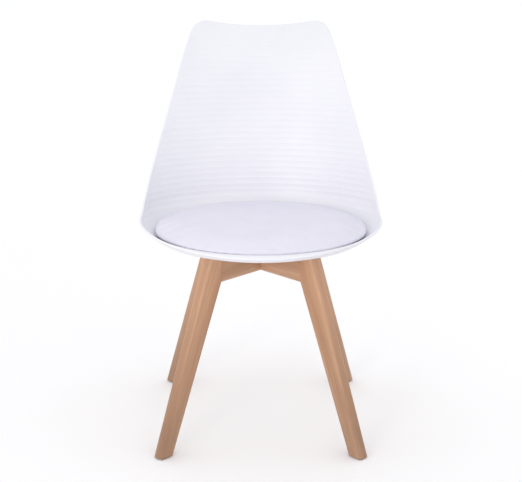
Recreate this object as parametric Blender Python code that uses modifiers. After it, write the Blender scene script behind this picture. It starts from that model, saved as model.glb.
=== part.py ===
"""Dining chair: a one-piece moulded seat shell with a round upholstered pad,
bolted to a beech base of two crossing leg frames.

Metres, +Z up. The chair faces -Y. The origin is on the floor, midway between the
front of the seat and the back's rear edge. The pieces are placed from the middle
of the base, which is the empty that they hang on.
"""

from math import acos, atan, atan2, cos, pi, radians, sin, sqrt, tan

import bmesh
import bpy
from mathutils import Matrix, Vector

OBJECT = "dining_chair"
GAP = 0.0003                # left between two pieces that touch

# Base: two equal frames that cross at the middle. Radii are from the middle.
FRAME_TOP_Z = 0.388
RAIL_HEIGHT = 0.056
FRAME_THICKNESS = 0.025
FRAME_ANGLES = {"left_front": radians(225), "right_front": radians(315),
                "right_rear": radians(45), "left_rear": radians(135)}
KNEE_RADIUS = 0.1205        # where the rail's underside meets the leg
SHOULDER_WIDTH = 0.0295     # from the knee out to the corner of the frame's top
FOOT_OUTER_RADIUS = 0.292
FOOT_WIDTH = 0.0345
ARRIS_RADIUS = 0.007
JOINT_OFFSET = 0.002        # from the knee to the joint between rail and leg
DOWEL_DIAMETER = 0.008
DOWEL_LENGTH = 0.040
DOWEL_MARGIN = 0.015        # from the rail's top and bottom to the dowels
GLIDE_MARGIN = 0.0035       # from the leg's faces in to the glide
GLIDE_HEIGHT = 0.0025
GLIDE_PIN_DIAMETER = 0.004
GLIDE_PIN_LENGTH = 0.014

# Fasteners that hold the shell on the base.
BOLT_TO_KNEE = 0.0355
BOLT_DIAMETER = 0.006
BOLT_LENGTH = 0.055
BOLT_CLEARANCE = 0.0004     # around the bolt, in every hole it passes
HEAD_OVERHANG = 0.002       # of the bolt's head past its shank
HEAD_TO_SOCKET = 0.0025     # from the head's side in to its hexagon's flats
WASHER_OVERHANG = 0.00125   # of the flat washer past the head
WASHER_THICKNESS = 0.0014
SPRING_WASHER_OVERHANG = 0.0004
SPRING_WASHER_THICKNESS = 0.0016
SPRING_WASHER_SPLIT = 0.0014
COUNTERBORE_CLEARANCE = 0.00095     # around the flat washer
INSERT_WALL = 0.0009
INSERT_LENGTH = 0.009
INSERT_CAP = 0.0024         # plastic left above the insert
INSERT_GROOVE = 0.0004
BOSS_WALL = 0.0067
SPACER_HEIGHT = 0.0074
SPACER_INSET = 0.0005       # from the boss's edge in to the spacer's

# Seat shell: the inside of the moulding, which the wall is added behind. Rises
# are above the pan's flat floor, and slopes are from its edge out to the rim.
SHELL_WALL = 0.0046
RIM_SIDE_X = 0.243          # widest point of the rim
RIM_SIDE_RISE = 0.0325
SIDE_SLOPE = 0.063
RIM_FRONT_Y = 0.2335        # front lip, measured forwards
RIM_FRONT_RISE = 0.0165
FRONT_SLOPE = 0.0655
LIP_CREST_RISE = 0.0195     # crest of the front lip, behind the rim
LIP_FOOT = 0.38             # where the lip leaves the pan, as a share of the front slope
LIP_CREST = 0.78            # where its crest is, as a share of the front slope
PAN_REAR = 0.150            # the flat floor, from the middle backwards
BEND_RADIUS = 0.052         # between the pan and the back
RECLINE = radians(8.5)      # of the back, above the bend
FLARE_START = 0.238         # height above the bend where the back starts to flare
FLARE = 2.25                # how fast the flare leaves the straight back, 1/m
WING_OPENING = 1.8          # how fast the wings open out above the bend, 1/m2
BACK_RISE = 0.3878          # of the top edge, at its middle
TOP_HALF_WIDTH = 0.1400
TOP_RISE = 0.0095           # the corners stand this much above the middle's row
CORNER_RADIUS = 0.026
CORNER_REACH = 0.060        # height over which the rows bend to meet the top edge
EDGE_BOW = 0.0075           # the side edges bulge this much from straight lines
RIM_ROUNDING = 0.0014

# Pad: an upholstered board that lies in the pan and reaches past its edge.
PAD_REACH_SIDE = 0.0365
PAD_REACH_ENDS = 0.031
PAD_FORWARD = 0.010         # the pad's middle lies this far in front of the pan's
PAD_ROUNDNESS = 2.1         # exponent of its outline, 2 is an ellipse
PAD_CLEARANCE = 0.0020      # between the pad's edge and the shell below it
PAD_CROWN = 0.0195          # from the pad's widest line up to its top
CROWN_POWER = 2.6           # above 1, the crown rises mostly near the edge
PAD_EDGE_ROUNDING = 0.007   # of the edge's upper half
PAD_EDGE_UNDER = 0.0040     # height of the edge's lower half
COVER_THICKNESS = 0.0012
COVER_SLACK = 0.003         # from the board's edge to the cover's fold round it
COVER_TURN_UNDER = 0.018
BOARD_THICKNESS = 0.005
BOARD_INSET = 0.062         # from the pad's outline to the board's
PAD_SCREW_MARGIN = 0.050    # from the board's edge to the screws
PAD_SCREW_DIAMETER = 0.004
PAD_SCREW_HEAD_DIAMETER = 0.008
PAD_SCREW_HEAD_HEIGHT = 0.0028
PAD_SCREW_COVER = 0.001     # wood left above the screws' tips

# How finely the round and curved surfaces are divided.
BACK_COLUMNS = 24
BACK_ROWS = 18
ROW_CROWDING = 1.35         # above 1, the rows stand closer at the bottom
BOWL_STEPS = (0.2, 0.4, 0.55, 0.68, 0.8, 0.91, 1.0)
FLOOR_STEPS = (-0.4, 0.0)
PAD_SEGMENTS = 40
ROUND_STEPS = 14
ARRIS_SEGMENTS = 3

# Worked out from the sizes above, upwards from the floor.
WOOD_BOTTOM_Z = GLIDE_HEIGHT + GAP
RAIL_BOTTOM_Z = FRAME_TOP_Z - RAIL_HEIGHT
SHOULDER_RADIUS = KNEE_RADIUS + SHOULDER_WIDTH
FOOT_INNER_RADIUS = FOOT_OUTER_RADIUS - FOOT_WIDTH
JOINT_RADIUS = KNEE_RADIUS + JOINT_OFFSET
GLIDE_DIAMETER = FRAME_THICKNESS - 2 * GLIDE_MARGIN
BOLT_RADIUS_FROM_MIDDLE = KNEE_RADIUS - BOLT_TO_KNEE
BOLT_SPREAD = BOLT_RADIUS_FROM_MIDDLE / sqrt(2)
BOLT_HEAD_DIAMETER = BOLT_DIAMETER + 2 * HEAD_OVERHANG
BOLT_HEAD_HEIGHT = BOLT_DIAMETER
BOLT_SOCKET_WIDTH = BOLT_HEAD_DIAMETER - 2 * HEAD_TO_SOCKET
BOLT_HOLE_DIAMETER = BOLT_DIAMETER + 2 * BOLT_CLEARANCE
WASHER_DIAMETER = BOLT_HEAD_DIAMETER + 2 * WASHER_OVERHANG
SPRING_WASHER_DIAMETER = BOLT_HEAD_DIAMETER + 2 * SPRING_WASHER_OVERHANG
COUNTERBORE_DIAMETER = WASHER_DIAMETER + 2 * COUNTERBORE_CLEARANCE
INSERT_DIAMETER = BOLT_HOLE_DIAMETER + 2 * INSERT_WALL
BOSS_DIAMETER = INSERT_DIAMETER + 2 * BOSS_WALL
SPACER_DIAMETER = BOSS_DIAMETER - 2 * SPACER_INSET
BOSS_BOTTOM_Z = FRAME_TOP_Z + GAP + SPACER_HEIGHT + GAP
INSERT_TOP_Z = BOSS_BOTTOM_Z + GAP + INSERT_LENGTH
BOLT_HEAD_TOP_Z = INSERT_TOP_Z - GAP - BOLT_LENGTH
SPRING_BOTTOM_Z = BOLT_HEAD_TOP_Z + GAP
WASHER_BOTTOM_Z = SPRING_BOTTOM_Z + SPRING_WASHER_THICKNESS + GAP
COUNTERBORE_Z = WASHER_BOTTOM_Z + WASHER_THICKNESS + GAP
PAN_Z = INSERT_TOP_Z + GAP + INSERT_CAP
PAN_UNDERSIDE_Z = PAN_Z - SHELL_WALL
PAN_HALF_WIDTH = RIM_SIDE_X - SIDE_SLOPE
PAN_FRONT = RIM_FRONT_Y - FRONT_SLOPE
RIM_SIDE_Z = PAN_Z + RIM_SIDE_RISE
TOP_Z = PAN_Z + BACK_RISE
BEND_ANGLE = pi / 2 - RECLINE
RIM_TURN = acos(1 - RIM_SIDE_RISE / BEND_RADIUS)
RIM_LEVEL = RIM_TURN / BEND_ANGLE
SIDE_SPREAD = SIDE_SLOPE / sin(RIM_TURN)
PAD_HALF_WIDTH = PAN_HALF_WIDTH + PAD_REACH_SIDE
PAD_HALF_DEPTH = (PAN_REAR + PAN_FRONT) / 2 + PAD_REACH_ENDS
PAD_Y = (PAN_REAR - PAN_FRONT) / 2 - PAD_FORWARD


# ---------------------------------------------------------------- helpers

def clear_scene():
    for item in list(bpy.data.objects):
        bpy.data.objects.remove(item, do_unlink=True)


def new_collection(name):
    collection = bpy.data.collections.new(name)
    bpy.context.scene.collection.children.link(collection)
    return collection


def principled(name, colour, roughness, metallic=0.0):
    material = bpy.data.materials.new(name)
    material.use_nodes = True
    shader = material.node_tree.nodes["Principled BSDF"]
    shader.inputs["Base Color"].default_value = (*colour, 1.0)
    shader.inputs["Roughness"].default_value = roughness
    shader.inputs["Metallic"].default_value = metallic
    return material


def add_piece(name, mesh, material):
    """A new piece of the chair, under the chair's empty."""
    piece = bpy.data.objects.new(name, mesh)
    if not mesh.materials:
        mesh.materials.append(material)
    parts.objects.link(piece)
    piece.parent = chair
    return piece


def add_cutter(name, mesh):
    cutter = bpy.data.objects.new(name, mesh)
    cutter.hide_render = True
    cutter.display_type = "WIRE"
    cutters.objects.link(cutter)
    cutter.parent = chair
    return cutter


def mesh_from(name, points, faces):
    mesh = bpy.data.meshes.new(name)
    mesh.from_pydata([tuple(point) for point in points], [], faces)
    mesh.update()
    return mesh


def profile_mesh(name, profile, closed):
    """A turned piece's outline, (radius, height) points joined by edges."""
    mesh = bpy.data.meshes.new(name)
    edges = [(i, i + 1) for i in range(len(profile) - 1)]
    if closed:
        edges.append((len(profile) - 1, 0))
    mesh.from_pydata([(radius, 0, height) for radius, height in profile], edges, [])
    return mesh


def turn(piece, steps=ROUND_STEPS):
    """Turn a piece's outline about its own Z axis."""
    screw = piece.modifiers.new("Turn", "SCREW")
    screw.axis = "Z"
    screw.angle = 2 * pi
    screw.steps = steps
    screw.render_steps = steps
    screw.use_merge_vertices = True
    screw.merge_threshold = 0.00001
    screw.use_smooth_shade = False


def cut(piece, cutter, operation="DIFFERENCE"):
    boolean = piece.modifiers.new(cutter.name, "BOOLEAN")
    boolean.object = cutter
    boolean.operation = operation
    boolean.solver = "EXACT"


def cylinders(name, places, diameter, bottom, top, steps=ROUND_STEPS):
    """A mesh of upright cylinders, one at each (x, y)."""
    work = bmesh.new()
    for x, y in places:
        middle = Matrix.Translation((x, y, (bottom + top) / 2))
        bmesh.ops.create_cone(work, cap_ends=True, segments=steps, depth=top - bottom,
                              radius1=diameter / 2, radius2=diameter / 2, matrix=middle)
    mesh = bpy.data.meshes.new(name)
    work.to_mesh(mesh)
    work.free()
    return mesh


def round_shading(mesh, angle=radians(35)):
    mesh.shade_smooth()
    mesh.set_sharp_from_angle(angle=angle)


def smooth_step(share):
    share = min(max(share, 0.0), 1.0)
    return share * share * (3 - 2 * share)


# ---------------------------------------------------------------- seat shell

# A level names one horizontal section of the shell's rear half. It is -1 at the
# middle of the floor, 0 at the floor's edge and 1 at the top of the bend, and
# above 1 it grows with the height in metres.

def section(level):
    """Half width, rear depth and height of the shell's inside at a level."""
    if level <= 0:
        return PAN_HALF_WIDTH * (1 + level), PAN_REAR * (1 + level), PAN_Z
    turned = BEND_ANGLE * min(level, 1)
    rise = max(level - 1, 0)
    flare = max(rise - FLARE_START, 0)
    side_lean = tan(RECLINE) * SIDE_SPREAD / BEND_RADIUS
    half_width = PAN_HALF_WIDTH + SIDE_SPREAD * sin(turned)
    half_width += rise * side_lean + WING_OPENING * rise ** 3
    depth = PAN_REAR + BEND_RADIUS * sin(turned)
    depth += rise * tan(RECLINE) + FLARE * flare ** 2
    height = PAN_Z + BEND_RADIUS * (1 - cos(turned)) + rise
    return half_width, depth, height


def level_at_height(height):
    """The level of the back's middle line at a height above the bend's top."""
    return 1 + height - section(1)[2]


def lean_at(height):
    """The back's angle from upright, on its middle line."""
    flare = max(level_at_height(height) - 1 - FLARE_START, 0)
    return atan(tan(RECLINE) + 2 * FLARE * flare)


def middle_depth(height):
    """Depth of the back's middle line at a height."""
    if height >= section(1)[2]:
        return section(level_at_height(height))[1]
    turned = acos(1 - (height - PAN_Z) / BEND_RADIUS)
    return PAN_REAR + BEND_RADIUS * sin(turned)


def row_point(x, offset, lean):
    """The point at x where the shell's rear half meets a row's plane.

    A row is the cut by a plane at right angles to the back's middle line."""
    low, high = 0.0, level_at_height(TOP_Z) + CORNER_REACH
    for _ in range(40):
        level = (low + high) / 2
        half_width, depth, height = section(level)
        y = depth * sqrt(max(1 - (x / half_width) ** 2, 0))
        if y * sin(lean) + height * cos(lean) < offset:
            low = level
        else:
            high = level
    return Vector((x, y, height)), level


def front_point(angle, level):
    """A point of the shell's front half. The angle is from +X, over the rear."""
    half_width, _, side_z = section(level)
    share = max(level, 0) / RIM_LEVEL
    if level <= 0:
        reach = PAN_FRONT * (1 + level)
    else:
        reach = PAN_FRONT + (RIM_FRONT_Y - PAN_FRONT) * share
    climb = smooth_step((share - LIP_FOOT) / (LIP_CREST - LIP_FOOT))
    fall = max((share - LIP_CREST) / (1 - LIP_CREST), 0) ** 2
    front_z = PAN_Z + LIP_CREST_RISE * climb - (LIP_CREST_RISE - RIM_FRONT_RISE) * fall
    front_share = sin(angle) ** 2
    z = side_z * (1 - front_share) + front_z * front_share
    return Vector((half_width * cos(angle), reach * sin(angle), z))


def rear_point(angle, level):
    half_width, depth, height = section(level)
    return Vector((half_width * cos(angle), depth * sin(angle), height))


def shell_height(x, y):
    """Height of the shell's inside over a point of its bowl."""
    low, high = -1.0, RIM_LEVEL
    for _ in range(30):
        level = (low + high) / 2
        half_width, depth, _ = section(level)
        depth = depth if y >= 0 else -front_point(-pi / 2, level).y
        if (x / half_width) ** 2 + (y / depth) ** 2 > 1:
            low = level
        else:
            high = level
    angle = atan2(y / depth, x / half_width)
    return (rear_point if y >= 0 else front_point)(angle, level).z


def edge_half_width(share):
    """Half width of the back's rows, from the widest one to the top."""
    straight = RIM_SIDE_X + (TOP_HALF_WIDTH - RIM_SIDE_X) * share
    return straight + EDGE_BOW * (1 - (2 * share - 1) ** 4)


def top_shift(column):
    """How far the top edge leaves its row: up towards the corners, then down
    round them. The column runs from -1 to 1."""
    x = abs(column) * TOP_HALF_WIDTH
    over = max(x - (TOP_HALF_WIDTH - CORNER_RADIUS), 0)
    corner = CORNER_RADIUS - sqrt(max(CORNER_RADIUS ** 2 - over ** 2, 0))
    return TOP_RISE * column ** 2 - corner


def lowest_row_offset():
    """Plane of the row through the rim's two widest points."""
    return RIM_SIDE_Z * cos(RECLINE)


def back_rows():
    """The back's points row by row, each row from +X to -X, and the levels of
    the lowest row's points."""
    bottom, _ = row_point(0, lowest_row_offset(), RECLINE)
    rows, lowest_levels = [], []
    for j in range(BACK_ROWS + 1):
        share = (j / BACK_ROWS) ** ROW_CROWDING
        height = bottom.z + (TOP_Z - bottom.z) * share
        lean = lean_at(height)
        middle_y = middle_depth(height)
        offset = middle_y * sin(lean) + height * cos(lean)
        near_top = smooth_step(1 - (TOP_Z - height) / CORNER_REACH)
        row = []
        for i in range(BACK_COLUMNS + 1):
            column = sin(pi / 2 * (1 - 2 * i / BACK_COLUMNS))
            shift = near_top * top_shift(column)
            shifted_share = share + min(shift, 0) * cos(lean) / (TOP_Z - bottom.z)
            x = column * edge_half_width(shifted_share)
            point, level = row_point(x, offset + shift, lean)
            row.append(point)
            if j == 0:
                lowest_levels.append(level)
        rows.append(row)
    return rows, lowest_levels


def shell_surface():
    """The shell's inside: rays from the middle of the floor to the lowest row
    of the back and to the front rim, and the back's rows above."""
    rows, levels = back_rows()
    rays = []
    for point, level in zip(rows[0], levels):
        half_width, depth, _ = section(level)
        angle = acos(min(max(point.x / half_width, -1), 1))
        rays.append((rear_point, angle, level))
    for i in range(1, BACK_COLUMNS):
        rays.append((front_point, pi + pi * i / BACK_COLUMNS, RIM_LEVEL))

    points = [Vector((0, 0, PAN_Z))]
    rings = []
    for step in FLOOR_STEPS + BOWL_STEPS[:-1]:
        ring = []
        for place, angle, level in rays:
            ring.append(len(points))
            points.append(place(angle, step if step <= 0 else level * step))
        rings.append(ring)
    rim = []
    for i, (place, angle, level) in enumerate(rays):
        rim.append(len(points))
        points.append(rows[0][i] if i <= BACK_COLUMNS else place(angle, level))
    rings.append(rim)

    count = len(rays)
    faces = [(0, rings[0][i], rings[0][(i + 1) % count]) for i in range(count)]
    for inner, outer in zip(rings, rings[1:]):
        for i in range(count):
            k = (i + 1) % count
            faces.append((inner[i], outer[i], outer[k], inner[k]))
    below = rim[:BACK_COLUMNS + 1]
    for row in rows[1:]:
        above = []
        for point in row:
            above.append(len(points))
            points.append(point)
        for i in range(BACK_COLUMNS):
            faces.append((below[i], above[i], above[i + 1], below[i + 1]))
        below = above
    return mesh_from("seat_shell", points, faces)


def rear_reach():
    """How far the back's top edge reaches behind the base's middle."""
    lean = lean_at(TOP_Z)
    return middle_depth(TOP_Z) + SHELL_WALL * cos(lean)


def bolt_places():
    return [(sx * BOLT_SPREAD, sy * BOLT_SPREAD) for sx in (-1, 1) for sy in (-1, 1)]


def pad_screw_places():
    across = PAD_HALF_WIDTH - BOARD_INSET - PAD_SCREW_MARGIN
    along = PAD_HALF_DEPTH - BOARD_INSET - PAD_SCREW_MARGIN
    return [(-across, PAD_Y), (across, PAD_Y), (0, PAD_Y - along), (0, PAD_Y + along)]


def build_seat_shell():
    shell = add_piece("seat_shell", shell_surface(), white_plastic)
    round_shading(shell.data)
    wall = shell.modifiers.new("Wall", "SOLIDIFY")
    wall.thickness = SHELL_WALL
    wall.offset = -1
    rounding = shell.modifiers.new("Rim rounding", "BEVEL")
    rounding.width = RIM_ROUNDING
    rounding.segments = 1
    rounding.limit_method = "ANGLE"
    rounding.angle_limit = radians(55)
    overlap = SHELL_WALL / 3
    bosses = cylinders("bosses", bolt_places(), BOSS_DIAMETER, BOSS_BOTTOM_Z,
                       PAN_UNDERSIDE_Z + overlap, 18)
    cut(shell, add_cutter("boss_stock", bosses), "UNION")
    sockets = cylinders("insert_sockets", bolt_places(), INSERT_DIAMETER + 2 * GAP,
                        BOSS_BOTTOM_Z - overlap, INSERT_TOP_Z + GAP)
    cut(shell, add_cutter("insert_socket_cutter", sockets))
    holes = cylinders("pad_screw_holes", pad_screw_places(), PAD_SCREW_DIAMETER + 2 * GAP,
                      PAN_UNDERSIDE_Z - overlap, PAN_Z + overlap, 12)
    cut(shell, add_cutter("pad_screw_hole_cutter", holes))


# ---------------------------------------------------------------- pad

def outline_ring(inset, height):
    """Points of the pad's outline, drawn in by an inset."""
    ring = []
    for i in range(PAD_SEGMENTS):
        angle = 2 * pi * i / PAD_SEGMENTS
        along, across = cos(angle), sin(angle)
        power = 2 / PAD_ROUNDNESS
        x = (PAD_HALF_WIDTH - inset) * abs(along) ** power * (1 if along >= 0 else -1)
        y = (PAD_HALF_DEPTH - inset) * abs(across) ** power * (1 if across >= 0 else -1)
        ring.append(Vector((x, PAD_Y + y, height)))
    return ring


def pad_edge_z():
    """Height of the pad's widest line, which its lower edge clears the shell by."""
    highest = max(shell_height(point.x, point.y) for point in outline_ring(0, 0))
    return highest + PAD_CLEARANCE


def pad_profile(shrink):
    """(inset, height) points of the pad from under its edge to near its middle.

    Shrink draws the whole profile in, by the thickness of what lies over it."""
    edge_z = pad_edge_z()
    rounding = PAD_EDGE_ROUNDING - shrink
    profile = []
    for degrees in (-60, -30, 0, 35, 65):
        turned = radians(degrees)
        inset = PAD_EDGE_ROUNDING - rounding * cos(turned)
        drop = PAD_EDGE_UNDER - shrink if degrees < 0 else rounding
        profile.append((inset, edge_z + drop * sin(turned)))
    crown_start = edge_z + PAD_EDGE_ROUNDING * sin(turned)
    crown = edge_z + PAD_CROWN - crown_start
    for share in (0.15, 0.45):
        height = crown_start + crown * (1 - (1 - share) ** CROWN_POWER) - shrink
        profile.append((PAD_EDGE_ROUNDING + share * (PAD_HALF_DEPTH - PAD_EDGE_ROUNDING), height))
    return profile


def lofted(name, rings, bottom_cap, top_point):
    """A skin over rings of equal length, with an optional flat bottom."""
    points = [point for ring in rings for point in ring]
    faces = []
    count = PAD_SEGMENTS
    for j in range(len(rings) - 1):
        for i in range(count):
            k = (i + 1) % count
            low, high = j * count, (j + 1) * count
            faces.append((low + i, low + k, high + k, high + i))
    top = len(points)
    points.append(top_point)
    last = (len(rings) - 1) * count
    faces += [(last + i, last + (i + 1) % count, top) for i in range(count)]
    if bottom_cap:
        faces.append(tuple(reversed(range(count))))
    return mesh_from(name, points, faces)


def build_pad_cover():
    """Skin over the pad, turned under the board and open below it."""
    under = PAN_Z + GAP
    rings = [outline_ring(BOARD_INSET + COVER_TURN_UNDER, under),
             outline_ring(BOARD_INSET - COVER_SLACK, under)]
    rings += [outline_ring(inset, height) for inset, height in pad_profile(0)]
    top = Vector((0, PAD_Y, pad_edge_z() + PAD_CROWN))
    cover = add_piece("pad_cover", lofted("pad_cover", rings, False, top), pad_leather)
    round_shading(cover.data)
    wall = cover.modifiers.new("Wall", "SOLIDIFY")
    wall.thickness = COVER_THICKNESS
    wall.offset = -1
    wall.use_even_offset = True


def board_bottom():
    return PAN_Z + GAP + COVER_THICKNESS + GAP


def build_pad_foam():
    """Foam between the board and the cover."""
    shrink = COVER_THICKNESS + 2 * GAP
    bottom = board_bottom() + BOARD_THICKNESS + GAP
    rings = [outline_ring(BOARD_INSET, bottom)]
    rings += [outline_ring(inset, height) for inset, height in pad_profile(shrink)]
    top = Vector((0, PAD_Y, pad_edge_z() + PAD_CROWN - shrink))
    foam = add_piece("pad_foam", lofted("pad_foam", rings, True, top), soft_foam)
    round_shading(foam.data)


def build_pad_board():
    bottom = board_bottom()
    outline = outline_ring(BOARD_INSET, bottom)
    mesh = mesh_from("pad_board", outline, [tuple(range(PAD_SEGMENTS))])
    board = add_piece("pad_board", mesh, plywood)
    wall = board.modifiers.new("Thickness", "SOLIDIFY")
    wall.thickness = BOARD_THICKNESS
    wall.offset = 1
    holes = cylinders("board_pilots", pad_screw_places(), PAD_SCREW_DIAMETER + 2 * GAP,
                      bottom - BOARD_THICKNESS, bottom + 2 * BOARD_THICKNESS, 12)
    cut(board, add_cutter("board_pilot_cutter", holes))


def build_pad_screws():
    """Pan-head screws through the shell's floor into the board."""
    head_top = PAN_UNDERSIDE_Z - GAP
    length = board_bottom() + BOARD_THICKNESS - PAD_SCREW_COVER - head_top
    radius = PAD_SCREW_DIAMETER / 2
    head = PAD_SCREW_HEAD_DIAMETER / 2
    low = -PAD_SCREW_HEAD_HEIGHT
    profile = [(0, length), (radius / 2, length - radius / 4), (radius, length - radius),
               (radius, 0), (head, 0), (head, low * 0.45), (head * 0.8, low * 0.85),
               (head * 0.45, low), (0, low)]
    mesh = profile_mesh("pad_screw", profile, False)
    for number, (x, y) in enumerate(pad_screw_places(), 1):
        screw = add_piece(f"pad_screw_{number}", mesh, zinc_steel)
        screw.location = (x, y, head_top)
        turn(screw, 12)


# ---------------------------------------------------------------- base

def frame_outline():
    """Half of a frame's outline as (radius, height), from the middle of its top
    to the middle of its underside."""
    outer_slope = (FOOT_OUTER_RADIUS - SHOULDER_RADIUS) / FRAME_TOP_Z
    inner_slope = (FOOT_INNER_RADIUS - KNEE_RADIUS) / RAIL_BOTTOM_Z
    return [(SHOULDER_RADIUS, FRAME_TOP_Z),
            (FOOT_OUTER_RADIUS - outer_slope * WOOD_BOTTOM_Z, WOOD_BOTTOM_Z),
            (FOOT_INNER_RADIUS - inner_slope * WOOD_BOTTOM_Z, WOOD_BOTTOM_Z),
            (KNEE_RADIUS, RAIL_BOTTOM_Z)]


def frame_blank():
    """One whole frame, along X, with its arrises rounded as the glued frame is:
    all round except along the top, where it meets the seat, and at the feet."""
    half = frame_outline()
    outline = half + [(-radius, height) for radius, height in reversed(half)]
    work = bmesh.new()
    ring = [work.verts.new((x, -FRAME_THICKNESS / 2, z)) for x, z in outline]
    face = work.faces.new(ring)
    grown = bmesh.ops.extrude_face_region(work, geom=[face])
    moved = [item for item in grown["geom"] if isinstance(item, bmesh.types.BMVert)]
    bmesh.ops.translate(work, vec=(0, FRAME_THICKNESS, 0), verts=moved)
    bmesh.ops.recalc_face_normals(work, faces=work.faces)
    arrises = [edge for edge in work.edges if is_arris(edge)]
    bmesh.ops.bevel(work, geom=arrises, offset=ARRIS_RADIUS, segments=ARRIS_SEGMENTS,
                    profile=0.5, affect="EDGES", clamp_overlap=True)
    return work


def is_arris(edge):
    """True on the long edges of the legs and of the rail's underside."""
    start, end = (vert.co for vert in edge.verts)
    across = abs(start.y - end.y) > FRAME_THICKNESS / 2
    flat_top = min(start.z, end.z) > FRAME_TOP_Z - GAP
    flat_foot = max(start.z, end.z) < WOOD_BOTTOM_Z + GAP
    return not (across or flat_top or flat_foot)


def trimmed(work, point, normal):
    """Cut away what lies on the normal's side of a plane and close the cut."""
    everything = work.verts[:] + work.edges[:] + work.faces[:]
    result = bmesh.ops.bisect_plane(work, geom=everything, dist=0.000001, plane_co=point,
                                    plane_no=normal, clear_outer=True)
    rim = [item for item in result["geom_cut"] if isinstance(item, bmesh.types.BMEdge)]
    bmesh.ops.edgeloop_fill(work, edges=rim)


def finish_wood(work, name):
    bmesh.ops.recalc_face_normals(work, faces=work.faces)
    mesh = bpy.data.meshes.new(name)
    work.to_mesh(mesh)
    work.free()
    round_shading(mesh)
    return mesh


def dowel_heights():
    return (RAIL_BOTTOM_Z + DOWEL_MARGIN, FRAME_TOP_Z - DOWEL_MARGIN)


def lying_cylinders(name, radii, heights, diameter, length, steps=12):
    """Cylinders along X, at each radius and height."""
    work = bmesh.new()
    lie = Matrix.Rotation(pi / 2, 4, "Y")
    for radius in radii:
        for height in heights:
            place = Matrix.Translation((radius, 0, height)) @ lie
            bmesh.ops.create_cone(work, cap_ends=True, segments=steps, depth=length,
                                  radius1=diameter / 2, radius2=diameter / 2, matrix=place)
    mesh = bpy.data.meshes.new(name)
    work.to_mesh(mesh)
    work.free()
    return mesh


def leg_mesh():
    """The leg on the +X side of a frame."""
    work = frame_blank()
    trimmed(work, (JOINT_RADIUS + GAP / 2, 0, 0), (-1, 0, 0))
    return finish_wood(work, "leg")


def rail_mesh():
    work = frame_blank()
    trimmed(work, (JOINT_RADIUS - GAP / 2, 0, 0), (1, 0, 0))
    trimmed(work, (GAP / 2 - JOINT_RADIUS, 0, 0), (-1, 0, 0))
    return finish_wood(work, "rail")


def foot_middle():
    _, outer, inner, _ = frame_outline()
    return (outer[0] + inner[0]) / 2


def build_legs():
    mesh = leg_mesh()
    sockets = lying_cylinders("dowel_sockets", (JOINT_RADIUS,), dowel_heights(),
                              DOWEL_DIAMETER + 2 * GAP, DOWEL_LENGTH + 2 * GAP)
    pin_hole = cylinders("glide_pin_hole", [(foot_middle(), 0)], GLIDE_PIN_DIAMETER + 2 * GAP,
                         0, WOOD_BOTTOM_Z + GLIDE_PIN_LENGTH + GAP, 12)
    for place, angle in FRAME_ANGLES.items():
        leg = add_piece(f"leg_{place}", mesh, beech)
        leg.rotation_euler = (0, 0, angle)
        for kind, shape in (("dowel", sockets), ("glide_pin", pin_hole)):
            cutter = add_cutter(f"{kind}_cutter_{place}", shape)
            cutter.rotation_euler = (0, 0, angle)
            cut(leg, cutter)


def box_mesh(name, size, middle):
    work = bmesh.new()
    place = Matrix.Translation(middle) @ Matrix.Diagonal((*size, 1))
    bmesh.ops.create_cube(work, size=1, matrix=place)
    mesh = bpy.data.meshes.new(name)
    work.to_mesh(mesh)
    work.free()
    return mesh


def build_rails():
    """Two rails, halved into each other where they cross."""
    notch = (FRAME_THICKNESS + 2 * GAP, 2 * FRAME_THICKNESS, RAIL_HEIGHT + GAP)
    ends = lying_cylinders("rail_dowel_sockets", (JOINT_RADIUS, -JOINT_RADIUS), dowel_heights(),
                           DOWEL_DIAMETER + 2 * GAP, DOWEL_LENGTH + 2 * GAP)
    stations = [(BOLT_RADIUS_FROM_MIDDLE, 0), (-BOLT_RADIUS_FROM_MIDDLE, 0)]
    holes = cylinders("bolt_holes", stations, BOLT_HOLE_DIAMETER, COUNTERBORE_Z - GAP,
                      FRAME_TOP_Z + RAIL_HEIGHT)
    counterbores = cylinders("counterbores", stations, COUNTERBORE_DIAMETER,
                             RAIL_BOTTOM_Z - RAIL_HEIGHT, COUNTERBORE_Z, 20)
    for name, angle, notch_z in (("rail_upper", FRAME_ANGLES["right_rear"], RAIL_BOTTOM_Z),
                                 ("rail_lower", FRAME_ANGLES["left_rear"], FRAME_TOP_Z)):
        rail = add_piece(name, rail_mesh(), beech)
        rail.rotation_euler = (0, 0, angle)
        lap = box_mesh(f"{name}_lap", notch, (0, 0, notch_z))
        for kind, shape in (("lap", lap), ("dowels", ends), ("bolts", holes),
                            ("heads", counterbores)):
            cutter = add_cutter(f"{name}_{kind}_cutter", shape)
            cutter.rotation_euler = (0, 0, angle)
            cut(rail, cutter)


def build_dowels():
    mesh = lying_cylinders("dowel", (0,), (0,), DOWEL_DIAMETER, DOWEL_LENGTH)
    round_shading(mesh)
    for place, angle in FRAME_ANGLES.items():
        for level, height in zip(("low", "high"), dowel_heights()):
            dowel = add_piece(f"dowel_{place}_{level}", mesh, beech)
            dowel.rotation_euler = (0, 0, angle)
            dowel.location = (JOINT_RADIUS * cos(angle), JOINT_RADIUS * sin(angle), height)


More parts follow.
